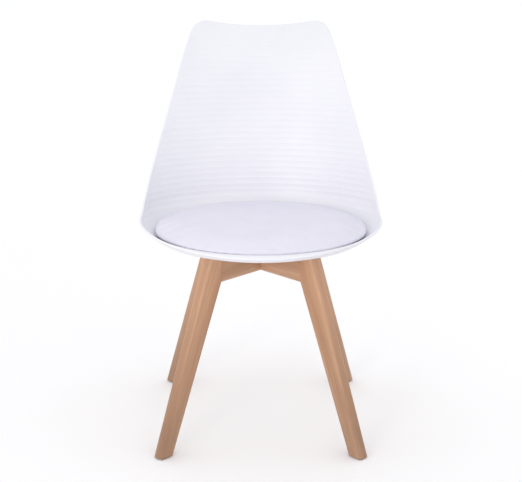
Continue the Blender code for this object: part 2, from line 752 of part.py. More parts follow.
def build_foot_glides():
    """Flat plastic discs, each with a pin that is pressed into the leg's end."""
    radius, pin = GLIDE_DIAMETER / 2, GLIDE_PIN_DIAMETER / 2
    chamfer = GLIDE_HEIGHT / 4
    pin_top = GLIDE_HEIGHT + GLIDE_PIN_LENGTH
    profile = [(0, pin_top), (pin * 0.7, pin_top), (pin, pin_top - pin), (pin, GLIDE_HEIGHT),
               (radius, GLIDE_HEIGHT), (radius, chamfer), (radius - chamfer, 0), (0, 0)]
    mesh = profile_mesh("foot_glide", profile, False)
    for place, angle in FRAME_ANGLES.items():
        glide = add_piece(f"foot_glide_{place}", mesh, dark_nylon)
        glide.location = (foot_middle() * cos(angle), foot_middle() * sin(angle), 0)
        turn(glide)


# ---------------------------------------------------------------- fasteners

def ring_mesh(name, diameter, bottom, height):
    """Outline of a ring that the bolt passes."""
    outer, inner = diameter / 2, BOLT_HOLE_DIAMETER / 2
    top = bottom + height
    outline = [(outer, top), (outer, bottom), (inner, bottom), (inner, top)]
    return profile_mesh(name, outline, True)


def each_bolt():
    """The frames' corner names with their bolt's place."""
    for place, angle in FRAME_ANGLES.items():
        x = BOLT_RADIUS_FROM_MIDDLE * cos(angle)
        yield place, (x, BOLT_RADIUS_FROM_MIDDLE * sin(angle))


def build_stack():
    """What each bolt passes, from its head up: spring washer, flat washer,
    the rail, and the spacer that carries the shell's boss."""
    washer = ring_mesh("flat_washer", WASHER_DIAMETER, WASHER_BOTTOM_Z, WASHER_THICKNESS)
    spring = ring_mesh("spring_washer", SPRING_WASHER_DIAMETER, SPRING_BOTTOM_Z,
                       SPRING_WASHER_THICKNESS)
    spacer = ring_mesh("spacer", SPACER_DIAMETER, FRAME_TOP_Z + GAP, SPACER_HEIGHT)
    size = (SPRING_WASHER_DIAMETER, SPRING_WASHER_SPLIT, 3 * SPRING_WASHER_THICKNESS)
    split = box_mesh("split", size, (SPRING_WASHER_DIAMETER / 2, 0, SPRING_BOTTOM_Z))
    for place, (x, y) in each_bolt():
        for name, mesh, material, steps in (("flat_washer", washer, zinc_steel, ROUND_STEPS),
                                            ("spring_washer", spring, zinc_steel, ROUND_STEPS),
                                            ("spacer", spacer, dark_nylon, 18)):
            piece = add_piece(f"{name}_{place}", mesh, material)
            piece.location = (x, y, 0)
            turn(piece, steps)
            if name == "spring_washer":
                cutter = add_cutter(f"split_cutter_{place}", split)
                cutter.location = (x, y, 0)
                cut(piece, cutter)


def build_bolts():
    """Socket-head bolts, pointing up, each with its head in a counterbore."""
    radius, head = BOLT_DIAMETER / 2, BOLT_HEAD_DIAMETER / 2
    tip = radius * 0.3
    chamfer = head * 0.1
    profile = [(0, BOLT_LENGTH), (radius - tip, BOLT_LENGTH), (radius, BOLT_LENGTH - tip),
               (radius, 0), (head, 0), (head, chamfer - BOLT_HEAD_HEIGHT),
               (head - chamfer, -BOLT_HEAD_HEIGHT), (0, -BOLT_HEAD_HEIGHT)]
    mesh = profile_mesh("bolt", profile, False)
    across_corners = BOLT_SOCKET_WIDTH / cos(pi / 6)
    socket = cylinders("hex_socket", [(0, 0)], across_corners, -2 * BOLT_HEAD_HEIGHT,
                       -BOLT_HEAD_HEIGHT / 2, 6)
    for place, (x, y) in each_bolt():
        bolt = add_piece(f"bolt_{place}", mesh, zinc_steel)
        bolt.location = (x, y, BOLT_HEAD_TOP_Z)
        turn(bolt)
        cutter = add_cutter(f"socket_cutter_{place}", socket)
        cutter.location = (x, y, BOLT_HEAD_TOP_Z)
        cut(bolt, cutter)


def build_inserts():
    """Brass threaded inserts in the shell's bosses, with a groove that holds."""
    bottom, top = BOSS_BOTTOM_Z + GAP, INSERT_TOP_Z
    third = INSERT_LENGTH / 3
    outer, inner = INSERT_DIAMETER / 2, BOLT_HOLE_DIAMETER / 2
    groove = outer - INSERT_GROOVE
    profile = [(outer, top), (outer, top - third), (groove, top - third),
               (groove, bottom + third), (outer, bottom + third), (outer, bottom),
               (inner, bottom), (inner, top)]
    mesh = profile_mesh("threaded_insert", profile, True)
    for place, (x, y) in each_bolt():
        insert = add_piece(f"threaded_insert_{place}", mesh, brass)
        insert.location = (x, y, 0)
        turn(insert)


# ---------------------------------------------------------------- chair

clear_scene()
parts = new_collection(OBJECT)
cutters = new_collection("cutters")
chair = bpy.data.objects.new("chair_origin", None)
chair.location.y = (RIM_FRONT_Y - rear_reach()) / 2
parts.objects.link(chair)

white_plastic = principled("white_plastic", (0.87, 0.88, 0.91), 0.42)
pad_leather = principled("pad_leather", (0.80, 0.79, 0.86), 0.5)
soft_foam = principled("soft_foam", (0.85, 0.80, 0.62), 0.95)
plywood = principled("plywood", (0.55, 0.38, 0.22), 0.7)
beech = principled("beech", (0.48, 0.29, 0.17), 0.5)
zinc_steel = principled("zinc_steel", (0.62, 0.62, 0.63), 0.35, 1.0)
brass = principled("brass", (0.72, 0.55, 0.24), 0.35, 1.0)
dark_nylon = principled("dark_nylon", (0.02, 0.02, 0.022), 0.55)

build_seat_shell()
build_pad_cover()
build_pad_foam()
build_pad_board()
build_pad_screws()
build_legs()
build_rails()
build_dowels()
build_foot_glides()
build_stack()
build_bolts()
build_inserts()
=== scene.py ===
"""Looks of the dining chair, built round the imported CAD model.

The shell, the pad and the wood are remade here at a fine scale, at the sizes
that the CAD model has. Metres, +Z up, the chair faces -Y.
"""

from math import acos, atan, cos, pi, radians, sin, tan

import bmesh
import bpy
import numpy as np
from mathutils import Matrix, Vector


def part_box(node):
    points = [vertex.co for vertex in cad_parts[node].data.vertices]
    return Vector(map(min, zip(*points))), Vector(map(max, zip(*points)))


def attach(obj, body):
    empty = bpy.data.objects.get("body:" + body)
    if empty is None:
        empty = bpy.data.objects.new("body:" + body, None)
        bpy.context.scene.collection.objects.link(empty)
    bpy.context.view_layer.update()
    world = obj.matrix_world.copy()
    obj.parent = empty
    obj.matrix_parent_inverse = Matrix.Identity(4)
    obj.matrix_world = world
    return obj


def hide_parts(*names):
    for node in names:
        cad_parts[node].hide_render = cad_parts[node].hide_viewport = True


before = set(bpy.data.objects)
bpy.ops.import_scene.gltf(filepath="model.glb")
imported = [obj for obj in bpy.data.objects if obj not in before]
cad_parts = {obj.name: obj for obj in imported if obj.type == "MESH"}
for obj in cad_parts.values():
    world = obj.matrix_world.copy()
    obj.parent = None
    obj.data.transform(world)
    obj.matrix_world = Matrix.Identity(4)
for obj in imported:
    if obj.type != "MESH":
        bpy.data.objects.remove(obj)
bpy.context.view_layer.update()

# The shell's inside, as the CAD model has it.
SHELL_WALL = 0.0046
PAN_Z = 0.408
PAN_HALF_WIDTH = 0.180
PAN_REAR = 0.150
PAN_FRONT = 0.168
BEND_RADIUS = 0.052
RECLINE = radians(8.5)
FLARE_START = 0.238
FLARE = 2.25
WING_OPENING = 1.8
RIM_SIDE_X = 0.243
RIM_SIDE_Z = 0.4405
RIM_FRONT_Y = 0.2335
RIM_FRONT_Z = 0.4245
LIP_CREST_Z = 0.4275
LIP_FOOT = 0.38
LIP_CREST = 0.78
TOP_Z = 0.7958
TOP_HALF_WIDTH = 0.1400
TOP_RISE = 0.0095
CORNER_RADIUS = 0.026
CORNER_REACH = 0.060
EDGE_BOW = 0.0075

BEND_ANGLE = pi / 2 - RECLINE
RIM_TURN = acos(1 - (RIM_SIDE_Z - PAN_Z) / BEND_RADIUS)
RIM_LEVEL = RIM_TURN / BEND_ANGLE
SIDE_SPREAD = (RIM_SIDE_X - PAN_HALF_WIDTH) / sin(RIM_TURN)
SIDE_LEAN = tan(RECLINE) * SIDE_SPREAD / BEND_RADIUS

# The ribs across the inside of the back.
RIB_PITCH = 0.01265
RIB_ABOVE = 0.0025          # width of a rib's short upper flank
RIB_BELOW = 0.0062          # width of its long lower flank
RIB_HEIGHT = 0.0005
RIB_TILT = radians(4.3)     # how much less the ribs' planes lean than the rows'
FIRST_RIB = 0.0145          # from the top edge, at its middle
RIB_BORDER = 0.005          # plain border along the edges
RIB_FADE = 0.008            # length over which a rib rises from the border
PAST_TOP_EDGE = 0.002       # the top edge counts as this far from the border
BELOW_BEND = -0.15          # the search for a rib's plane starts this low

# The shell's mesh.
RIM_BULGE = 0.0012          # the rim's rounded edge stands this far out
LIP_THINNING = 0.35         # share of the wall that the front lip leaves out
LIP_THIN_FROM = 0.14        # forward of the base's middle
LIP_THIN_OVER = 0.05
ROWS = 340
COLUMNS = 84
BOWL_RINGS = 30
RIM_ARC = 4
SEARCH_STEPS = 40

# The pad, as the CAD model has it.
PAD_HALF_WIDTH = 0.2165
PAD_HALF_DEPTH = 0.190
PAD_Y = -0.019
PAD_ROUNDNESS = 2.1
PAD_EDGE_Z = 0.4260
PAD_TOP_Z = 0.4455
PAD_EDGE_ROUNDING = 0.007
PAD_EDGE_UNDER = 0.0040
PAD_FLOOR_INSET = 0.059
CROWN_POWER = 2.6

# The pad's mesh.
PAD_SEGMENTS = 96
PAD_REST = 0.0015           # left between the pad's under-edge and the shell
PAD_SLACK = 0.0015          # the pad starts this much smaller and swells
PAD_SWELL_CAP = 0.0050
PAD_PRESSURE = 4.0
PAD_FRAMES = 20
CLOTH_QUALITY = 6
CLOTH_MASS = 0.25
CLOTH_STIFFNESS = 12
CLOTH_BENDING = 0.6
PAD_FLOOR_GAP = 0.0005      # between the pad's underside and the shell's floor
UNDER_EDGE = -75            # degrees round the pad's edge where its side starts
OVER_EDGE = 65              # and where its crown starts
EDGE_STEP = 14
CROWN_RINGS = 15
VOXEL = 0.005
PLEAT_HEIGHT = 0.00022
PLEAT_INSET = 0.006         # the pleats' middle, in from the pad's outline
PLEAT_REACH = 0.011

# The base, as the CAD model has it.
FRAME_THICKNESS = 0.025
FRAME_ANGLES = {"left_front": radians(225), "right_front": radians(315),
                "right_rear": radians(45), "left_rear": radians(135)}
FRAME_TOP_Z = 0.388
RAIL_BOTTOM_Z = 0.332
WOOD_BOTTOM_Z = 0.0028
KNEE_RADIUS = 0.1205
SHOULDER_RADIUS = 0.150
FOOT_INNER_RADIUS = 0.2575
FOOT_OUTER_RADIUS = 0.292
ARRIS_RADIUS = 0.007
JOINT_RADIUS = KNEE_RADIUS + 0.002
JOINT_LINE = 0.0003
BOLT_RADIUS_FROM_MIDDLE = 0.085
COUNTERBORE_DIAMETER = 0.0144
COUNTERBORE_DEPTH = 0.0219
BOLT_HOLE_DIAMETER = 0.0068
BOSS_DIAMETER = 0.022
BOSS_HOLE_DIAMETER = 0.0092
SPACER_HEIGHT = 0.0074
BOSS_BOTTOM_Z = PAN_Z - SHELL_WALL - SPACER_HEIGHT
BOSS_SOFTENING = 0.0006
BOSS_INTO_WALL = 0.2        # share of the wall that a boss reaches into
SHARP_TURN = radians(30)    # a sharper turn between faces is shaded as an edge

# The wood's colours, and the painted light that darkens the legs' feet and lightens their heads.
BEECH_DARK = (0.365, 0.187, 0.098)
BEECH_PALE = (0.610, 0.365, 0.222)
BEECH_LINE = (0.33, 0.160, 0.078)
BEECH_FLECK = (0.22, 0.105, 0.052)
FOOT_PAINTED_SHADE = 0.80            # painted shade: the wood's colour scaled darker at a foot
HEAD_PAINTED_LIGHT = 1.16            # painted light: scaled lighter at a leg's head
PAINTED_LIGHT_START = 0.04           # up a leg from its foot, where the painted light starts to rise
# where the painted light reaches its full brightness
PAINTED_LIGHT_END = 0.36

# The light and the camera.
WORLD_COLOUR = (0.985, 0.985, 1.0, 1)
WORLD_STRENGTH = 1.04
WORLD_SWING = 0.03
BRIGHTEST_WAY = (-0.7, -0.65, 0.3)
KEY_PLACE = (-1.0, -2.1, 0.95)
KEY_TARGET = (0, 0, 0.42)
KEY_SIZE = (0.7, 0.6)
KEY_POWER = 0.55
KEY_COLOUR = (1, 0.94, 0.88)
KEY_SPREAD = radians(34)
FLOOR_REACH = 9
FLOOR_COLOUR = (0.97, 0.97, 0.972)
CAMERA_PLACE = (0.0006, -2.531, 1.144)
CAMERA_TURN = radians(-0.35)
CAMERA_PITCH = radians(90 - 16.57)
CAMERA_ROLL = radians(0.12)
LENS = 88.8
SENSOR_WIDTH = 36

# The base's middle, which the chair's sizes and the camera are measured from.
rail_low, rail_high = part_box("rail_upper")
BASE = Vector((0, (rail_low.y + rail_high.y) / 2, 0))


def smooth_step(share):
    """A soft rise from 0 to 1."""
    share = np.clip(share, 0, 1)
    return share * share * (3 - 2 * share)


# ---------------------------------------------------------------- materials

class Nodes:
    """A short way to write a material's nodes."""

    def __init__(self, name, colour, roughness, metallic=0.0):
        self.material = bpy.data.materials.new(name)
        self.material.use_nodes = True
        self.tree = self.material.node_tree
        self.shader = self.tree.nodes["Principled BSDF"]
        self.shader.inputs["Base Color"].default_value = (*colour, 1)
        self.shader.inputs["Roughness"].default_value = roughness
        self.shader.inputs["Metallic"].default_value = metallic

    def add(self, kind, settings=None, **inputs):
        node = self.tree.nodes.new(kind)
        for name, value in (settings or {}).items():
            setattr(node, name, value)
        for name, value in inputs.items():
            socket = node.inputs[name.replace("_", " ")]
            if isinstance(value, bpy.types.NodeSocket):
                self.tree.links.new(value, socket)
            else:
                socket.default_value = value
        return node

    def where(self, stretch=(1, 1, 1)):
        """Object coordinates, stretched, as a vector."""
        place = self.add("ShaderNodeTexCoord")
        return self.add("ShaderNodeMapping", Vector=place.outputs["Object"],
                        Scale=stretch).outputs["Vector"]

    def noise(self, scale, detail=3.0, stretch=(1, 1, 1), roughness=0.5, distortion=0.0):
        node = self.add("ShaderNodeTexNoise", Vector=self.where(stretch), Scale=scale,
                        Detail=detail, Roughness=roughness, Distortion=distortion)
        return node.outputs["Fac"]

    def spread(self, value, low, high, start=0.3, end=0.7):
        """A value from the range start to end, spread over low to high."""
        node = self.add("ShaderNodeMapRange", Value=value, From_Min=start, From_Max=end,
                        To_Min=low, To_Max=high)
        return node.outputs["Result"]

    def mix(self, share, first, second):
        """A colour between two colours, each a triple or a socket."""
        node = self.tree.nodes.new("ShaderNodeMix")
        node.data_type = "RGBA"
        self.tree.links.new(share, node.inputs["Factor"])
        colours = [socket for socket in node.inputs if socket.type == "RGBA"]
        for socket, value in zip(colours, (first, second)):
            if isinstance(value, bpy.types.NodeSocket):
                self.tree.links.new(value, socket)
            else:
                socket.default_value = (*value, 1)
        return [socket for socket in node.outputs if socket.type == "RGBA"][0]

    def scaled(self, colour, factor):
        node = self.add("ShaderNodeVectorMath", {"operation": "SCALE"},
                        Vector=colour, Scale=factor)
        return node.outputs["Vector"]

    def bump(self, height, strength, distance, normal=None):
        node = self.add("ShaderNodeBump", Height=height, Strength=strength, Distance=distance)
        if normal is not None:
            self.tree.links.new(normal, node.inputs["Normal"])
        return node.outputs["Normal"]

    def use(self, socket, value):
        self.tree.links.new(value, self.shader.inputs[socket])


def shell_plastic():
    """White polypropylene: satin, with a very fine moulded grain."""
    nodes = Nodes("shell_polypropylene", (0.80, 0.80, 0.85), 0.4)
    nodes.shader.inputs["Specular IOR Level"].default_value = 0.45
    cloudy = nodes.spread(nodes.noise(9, 2), 0, 1)
    nodes.use("Base Color", nodes.mix(cloudy, (0.785, 0.788, 0.838), (0.81, 0.812, 0.856)))
    nodes.use("Roughness", nodes.spread(nodes.noise(60, 4), 0.36, 0.46))
    grain = nodes.noise(1500, 2)
    nodes.use("Normal", nodes.bump(grain, 0.12, 0.0002))
    return nodes.material


def pad_leatherette():
    """White PU leather: a fine pebbled grain with faint creases."""
    nodes = Nodes("pad_leatherette", (0.80, 0.79, 0.87), 0.42)
    nodes.shader.inputs["Sheen Weight"].default_value = 0.06
    cloudy = nodes.spread(nodes.noise(14, 3), 0, 1)
    nodes.use("Base Color", nodes.mix(cloudy, (0.70, 0.688, 0.787), (0.74, 0.723, 0.812)))
    nodes.use("Roughness", nodes.spread(nodes.noise(130, 4), 0.36, 0.5))
    cells = nodes.add("ShaderNodeTexVoronoi", {"feature": "DISTANCE_TO_EDGE"},
                      Vector=nodes.where(), Scale=620.0).outputs["Distance"]
    pebbles = nodes.spread(cells, 0, 1, 0.0, 0.35)
    grain = nodes.bump(pebbles, 0.22, 0.0003)
    creases = nodes.noise(85, 5, (1, 1.4, 1), 0.62, 0.6)
    nodes.use("Normal", nodes.bump(creases, 0.1, 0.001, grain))
    return nodes.material


def beech_wood(name, foot_painted_shade):
    """Lacquered beech: straight grain along local Z with short dark flecks.
    Its colour is scaled by painted light: darker at the foot, lighter up to the head, as light
    from above falls."""
    nodes = Nodes(name, (0.5, 0.32, 0.2), 0.42)
    nodes.shader.inputs["Coat Weight"].default_value = 0.25
    nodes.shader.inputs["Coat Roughness"].default_value = 0.28
    broad = nodes.spread(nodes.noise(26, 4, (1, 1, 0.07), 0.55, 0.4), 0, 1, 0.32, 0.68)
    fine = nodes.spread(nodes.noise(420, 3, (1, 1, 0.03), 0.6), 0, 1, 0.35, 0.7)
    fleck = nodes.spread(nodes.noise(900, 2, (1, 1, 0.14)), 0, 1, 0.66, 0.76)
    tone = nodes.mix(broad, BEECH_DARK, BEECH_PALE)
    grained = nodes.mix(nodes.spread(fine, 0, 0.4, 0, 1), tone, BEECH_LINE)
    flecked = nodes.mix(nodes.spread(fleck, 0, 0.5, 0, 1), grained, BEECH_FLECK)
    height = nodes.add("ShaderNodeSeparateXYZ", Vector=nodes.where()).outputs["Z"]
    # Painted light: a ramp along local Z scales the colour, with shade at the foot and light at
    # the head.
    painted_light_ramp = nodes.spread(height, foot_painted_shade, HEAD_PAINTED_LIGHT, PAINTED_LIGHT_START, PAINTED_LIGHT_END)
    nodes.use("Base Color", nodes.scaled(flecked, painted_light_ramp))
    nodes.use("Roughness", nodes.spread(fine, 0.38, 0.52, 0, 1))
    nodes.use("Normal", nodes.bump(fine, 0.12, 0.0003))
    return nodes.material


def zinc_plate():
    nodes = Nodes("zinc_plate", (0.6, 0.6, 0.61), 0.32, 1.0)
    nodes.use("Roughness", nodes.spread(nodes.noise(700, 4), 0.25, 0.42))
    spangle = nodes.noise(200, 3)
    nodes.use("Base Color", nodes.mix(spangle, (0.52, 0.52, 0.54), (0.68, 0.68, 0.67)))
    return nodes.material


def turned_brass():
    nodes = Nodes("turned_brass", (0.72, 0.55, 0.24), 0.3, 1.0)
    nodes.use("Roughness", nodes.spread(nodes.noise(600, 3), 0.22, 0.4))
    return nodes.material


def black_nylon():
    nodes = Nodes("black_nylon", (0.02, 0.02, 0.022), 0.5)
    nodes.use("Roughness", nodes.spread(nodes.noise(500, 3), 0.42, 0.6))
    nodes.use("Normal", nodes.bump(nodes.noise(1400, 2), 0.15, 0.0002))
    return nodes.material


def raw_plywood():
    nodes = Nodes("raw_plywood", (0.55, 0.38, 0.22), 0.75)
    ply = nodes.noise(300, 3, (0.05, 1, 8))
    nodes.use("Base Color", nodes.mix(ply, (0.46, 0.30, 0.17), (0.62, 0.45, 0.28)))
    return nodes.material


# ---------------------------------------------------------------- mesh help

def new_object(name, mesh, material):
    piece = bpy.data.objects.new(name, mesh)
    mesh.materials.clear()
    mesh.materials.append(material)
    bpy.context.scene.collection.objects.link(piece)
    return piece


def mesh_from(name, points, faces):
    mesh = bpy.data.meshes.new(name)
    mesh.from_pydata([tuple(point) for point in points], [], faces)
    mesh.update()
    mesh.shade_smooth()
    return mesh


def coordinates(mesh, kind="co"):
    values = np.zeros(len(mesh.vertices) * 3)
    mesh.vertices.foreach_get(kind, values)
    return values.reshape(-1, 3)


# ---------------------------------------------------------------- seat shell

def section(level):
    """Half width, rear depth and height of the inside at a level: -1 is the
    floor's middle, 0 its edge, 1 the bend's top, then metres of height."""
    turned = BEND_ANGLE * np.clip(level, 0, 1)
    floor = np.clip(1 + level, 0, 1)
    rise = np.maximum(level - 1, 0)
    flare = np.maximum(rise - FLARE_START, 0)
    half_width = PAN_HALF_WIDTH * floor + SIDE_SPREAD * np.sin(turned)
    half_width = half_width + rise * SIDE_LEAN + WING_OPENING * rise ** 3
    depth = PAN_REAR * floor + BEND_RADIUS * np.sin(turned)
    depth = depth + rise * tan(RECLINE) + FLARE * flare ** 2
    height = PAN_Z + BEND_RADIUS * (1 - np.cos(turned)) + rise
    return half_width, depth, height


def row_points(x, offset, lean):
    """Where the rear half meets the rows' planes at x, with the levels there."""
    shape = np.broadcast(x, offset, lean).shape
    low = np.zeros(shape)
    high = np.full(shape, 1 + TOP_Z - section(np.float64(1))[2] + CORNER_REACH)
    for _ in range(SEARCH_STEPS):
        level = (low + high) / 2
        half_width, depth, height = section(level)
        y = depth * np.sqrt(np.maximum(1 - (x / half_width) ** 2, 0))
        below = y * np.sin(lean) + height * np.cos(lean) < offset
        low = np.where(below, level, low)
        high = np.where(below, high, level)
    return np.stack([np.broadcast_to(x, shape), y, height], -1), level


def rear_points(angle, level):
    """Points of the rear half of the inside."""
    half_width, depth, height = section(level)
    return np.stack([half_width * np.cos(angle), depth * np.sin(angle), height], -1)


def front_points(angle, level):
    """Points of the front half, whose lip rises to a crest and rolls over."""
    half_width, _, side_z = section(level)
    share = np.maximum(level, 0) / RIM_LEVEL
    reach = PAN_FRONT * np.clip(1 + level, 0, 1) + (RIM_FRONT_Y - PAN_FRONT) * share
    climb = smooth_step((share - LIP_FOOT) / (LIP_CREST - LIP_FOOT))
    fall = np.maximum((share - LIP_CREST) / (1 - LIP_CREST), 0) ** 2
    front_z = PAN_Z + (LIP_CREST_Z - PAN_Z) * climb - (LIP_CREST_Z - RIM_FRONT_Z) * fall
    front_share = np.sin(angle) ** 2
    z = side_z * (1 - front_share) + front_z * front_share
    return np.stack([half_width * np.cos(angle), reach * np.sin(angle), z], -1)


def edge_half_width(share):
    """Half the back's width at a share of its height."""
    straight = RIM_SIDE_X + (TOP_HALF_WIDTH - RIM_SIDE_X) * share
    return straight + EDGE_BOW * (1 - (2 * share - 1) ** 4)


def top_shift(column):
    """How far the top edge lies above its middle, by the place across it."""
    over = np.maximum(np.abs(column) * TOP_HALF_WIDTH - (TOP_HALF_WIDTH - CORNER_RADIUS), 0)
    corner = CORNER_RADIUS - np.sqrt(np.maximum(CORNER_RADIUS ** 2 - over ** 2, 0))
    return TOP_RISE * column ** 2 - corner


def row_planes(along):
    """Offset and lean of the rows' planes, by the distance along the back."""
    _, depth, height = section(np.float64(1 + FLARE_START))
    flare_from = depth * sin(RECLINE) + height * cos(RECLINE)
    rise = np.linspace(0, TOP_Z - height + CORNER_REACH, 400)
    slope = tan(RECLINE) + 2 * FLARE * rise
    steps = np.hypot(1, (slope[1:] + slope[:-1]) / 2) * np.diff(rise)
    arc = np.concatenate([[0], np.cumsum(steps)])
    top = flare_from + np.interp(TOP_Z - height, rise, arc)
    climbed = np.interp(along - flare_from, arc, rise, left=0)
    lean = np.arctan(tan(RECLINE) + 2 * FLARE * climbed)
    y = depth + climbed * tan(RECLINE) + FLARE * climbed ** 2
    flared = y * np.sin(lean) + (height + climbed) * np.cos(lean)
    return np.where(along > flare_from, flared, along), lean, top


def rib_distance(points):
    """Distance below the top edge, along the middle line, of the rib plane
    through each point."""
    _, depth, height = section(np.float64(1))

    def line(rise):
        flare = np.maximum(rise - FLARE_START, 0)
        lean = np.arctan(tan(RECLINE) + 2 * FLARE * flare)
        return depth + rise * tan(RECLINE) + FLARE * flare ** 2, lean

    highest = TOP_Z - height + CORNER_REACH
    low = np.full(points.shape[:-1], BELOW_BEND)
    high = np.full(points.shape[:-1], highest)
    for _ in range(SEARCH_STEPS):
        rise = (low + high) / 2
        y, lean = line(rise)
        lean = lean - RIB_TILT
        behind = points[..., 1] - y
        above = points[..., 2] - height - rise
        below = behind * np.sin(lean) + above * np.cos(lean) > 0
        low = np.where(below, rise, low)
        high = np.where(below, high, rise)
    table = np.linspace(BELOW_BEND, highest, 600)
    steps = np.diff(table) / np.cos(line((table[1:] + table[:-1]) / 2)[1])
    arc = np.concatenate([[0], np.cumsum(steps)])
    return np.interp(TOP_Z - height, table, arc) - np.interp(rise, table, arc)


def rib_share(points):
    """Share of the ribs' height at each point of the back's grid."""
    place = (rib_distance(points) - FIRST_RIB) / RIB_PITCH
    off = (place - np.round(place)) * RIB_PITCH
    flank = np.where(off > 0, RIB_BELOW, RIB_ABOVE)
    ridge = np.cos(np.clip(np.abs(off) / flank, 0, 1) * pi / 2) ** 2
    from_sides = edge_distance(points, 1)
    from_top = edge_distance(points[::-1], 0, True)[::-1] + PAST_TOP_EDGE
    border = np.minimum(from_sides, from_top)
    return ridge * smooth_step((border - RIB_BORDER) / RIB_FADE)


def back_grid():
    """Points of the back's fine rows, and the levels of their places."""
    bottom = RIM_SIDE_Z * cos(RECLINE)
    _, _, top = row_planes(np.array([bottom]))
    offset, lean, _ = row_planes(np.linspace(bottom, top, ROWS + 1))
    middle, _ = row_points(np.zeros(ROWS + 1), offset, lean)
    height = middle[:, 2]
    share = (height - height[0]) / (TOP_Z - height[0])
    near_top = smooth_step(1 - (TOP_Z - height) / CORNER_REACH)
    column = np.sin(pi / 2 * (1 - 2 * np.arange(COLUMNS + 1) / COLUMNS))
    shift = near_top[:, None] * top_shift(column)[None, :]
    lowered = np.minimum(shift, 0) * np.cos(lean)[:, None] / (TOP_Z - height[0])
    x = column[None, :] * edge_half_width(share[:, None] + lowered)
    return row_points(x, offset[:, None] + shift, lean[:, None])


def edge_distance(points, axis, one_sided=False):
    """Distance along the grid from its edges, or only from its first edge."""
    steps = np.linalg.norm(np.diff(points, axis=axis), axis=2)
    start = np.zeros((1, points.shape[1]) if axis == 0 else (points.shape[0], 1))
    forward = np.concatenate([start, np.cumsum(steps, axis=axis)], axis=axis)
    if one_sided:
        return forward
    return np.minimum(forward, forward.max(axis=axis, keepdims=True) - forward)


def shell_inside():
    """The smooth inside: points, faces, the rim's loop and the ribs' height."""
    rows, levels = back_grid()
    ridge = rib_share(rows)
    lowest = rows[0]
    rear_angle = np.arccos(np.clip(lowest[:, 0] / section(levels[0])[0], -1, 1))
    front_angle = pi + pi * np.arange(1, COLUMNS) / COLUMNS
    bowl_steps = np.concatenate([[-0.5, 0], np.linspace(0, 1, BOWL_RINGS + 1)[1:-1]])

    points = [np.array([[0, 0, PAN_Z]])]
    for step in bowl_steps:
        rear_level = levels[0] * step if step > 0 else np.full(COLUMNS + 1, step)
        front_level = RIM_LEVEL * step if step > 0 else step
        points.append(rear_points(rear_angle, rear_level))
        points.append(front_points(front_angle, np.full(COLUMNS - 1, front_level)))
    points.append(lowest)
    points.append(front_points(front_angle, np.full(COLUMNS - 1, RIM_LEVEL)))
    rim_start = 1 + len(bowl_steps) * 2 * COLUMNS
    rows_start = rim_start + 2 * COLUMNS
    points.append(rows[1:].reshape(-1, 3))

    count = 2 * COLUMNS
    faces = [(0, 1 + i, 1 + (i + 1) % count) for i in range(count)]
    for ring in range(len(bowl_steps)):
        inner = 1 + ring * count
        outer = inner + count
        for i in range(count):
            k = (i + 1) % count
            faces.append((inner + i, outer + i, outer + k, inner + k))
    width = COLUMNS + 1
    below = rim_start
    for j in range(len(rows) - 1):
        above = rows_start + j * width
        for i in range(COLUMNS):
            faces.append((below + i, above + i, above + i + 1, below + i + 1))
        below = above

    all_points = np.concatenate(points)
    raised = np.zeros(len(all_points))
    raised[rim_start:rim_start + width] = ridge[0]
    raised[rows_start:] = ridge[1:].ravel()
    right_side = [rows_start + j * width for j in range(len(rows) - 1)]
    left_side = [start + COLUMNS for start in right_side]
    loop = [rim_start] + right_side + list(range(right_side[-1] + 1, left_side[-1]))
    loop += list(reversed(left_side)) + list(range(rim_start + COLUMNS, rim_start + count))
    return all_points, faces, loop, raised * RIB_HEIGHT


def build_shell(material):
    points, faces, loop, raised = shell_inside()
    smooth = mesh_from("shell_smooth", points, faces)
    normals = coordinates(smooth, "normal")
    bpy.data.meshes.remove(smooth)
    count = len(points)
    inside = points + normals * raised[:, None]
    lip = smooth_step((-points[:, 1] - LIP_THIN_FROM) / LIP_THIN_OVER)
    wall = SHELL_WALL * (1 - LIP_THINNING * lip)[:, None]
    outside = points - normals * wall

    edge = points[loop]
    ahead = np.roll(edge, -1, axis=0) - np.roll(edge, 1, axis=0)
    out = np.cross(ahead, normals[loop])
    out /= np.linalg.norm(out, axis=1)[:, None]
    rim_loops = [list(loop)]
    rim_points = []
    for step in range(1, RIM_ARC):
        turned = pi * step / RIM_ARC
        height = (cos(turned) - 1) / 2 * wall[loop]
        place = edge + normals[loop] * height + out * RIM_BULGE * sin(turned)
        start = 2 * count + len(rim_points) * len(loop)
        rim_loops.append(list(range(start, start + len(loop))))
        rim_points.append(place)
    rim_loops.append([count + i for i in loop])

    all_faces = list(faces) + [tuple(count + i for i in reversed(face)) for face in faces]
    for first, second in zip(rim_loops, rim_loops[1:]):
        for i in range(len(loop)):
            k = (i + 1) % len(loop)
            all_faces.append((first[i], second[i], second[k], first[k]))
    everything = np.concatenate([inside, outside] + rim_points) + np.array(BASE)
    mesh = mesh_from("shell_moulding", everything, all_faces)
    check = bmesh.new()
    check.from_mesh(mesh)
    bmesh.ops.recalc_face_normals(check, faces=check.faces)
    check.to_mesh(mesh)
    check.free()
    shell = new_object("shell_moulding", mesh, material)
    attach(shell, "root")
    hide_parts("seat_shell")


def bolt_places():
    """Each bolt's corner, with its x and y from the base's middle."""
    for place, angle in FRAME_ANGLES.items():
        x = BOLT_RADIUS_FROM_MIDDLE * cos(angle)
        yield place, x, BOLT_RADIUS_FROM_MIDDLE * sin(angle)


def turned_ring(name, profile, steps=48):
    """A closed ring turned about Z from (radius, height) points."""
    points, faces = [], []
    for i in range(steps):
        angle = 2 * pi * i / steps
        points += [(r * cos(angle), r * sin(angle), z) for r, z in profile]
    size = len(profile)
    for i in range(steps):
        for j in range(size):
            here, there = i * size, (i + 1) % steps * size
            k = (j + 1) % size
            faces.append((here + j, there + j, there + k, here + k))
    return mesh_from(name, points, faces)


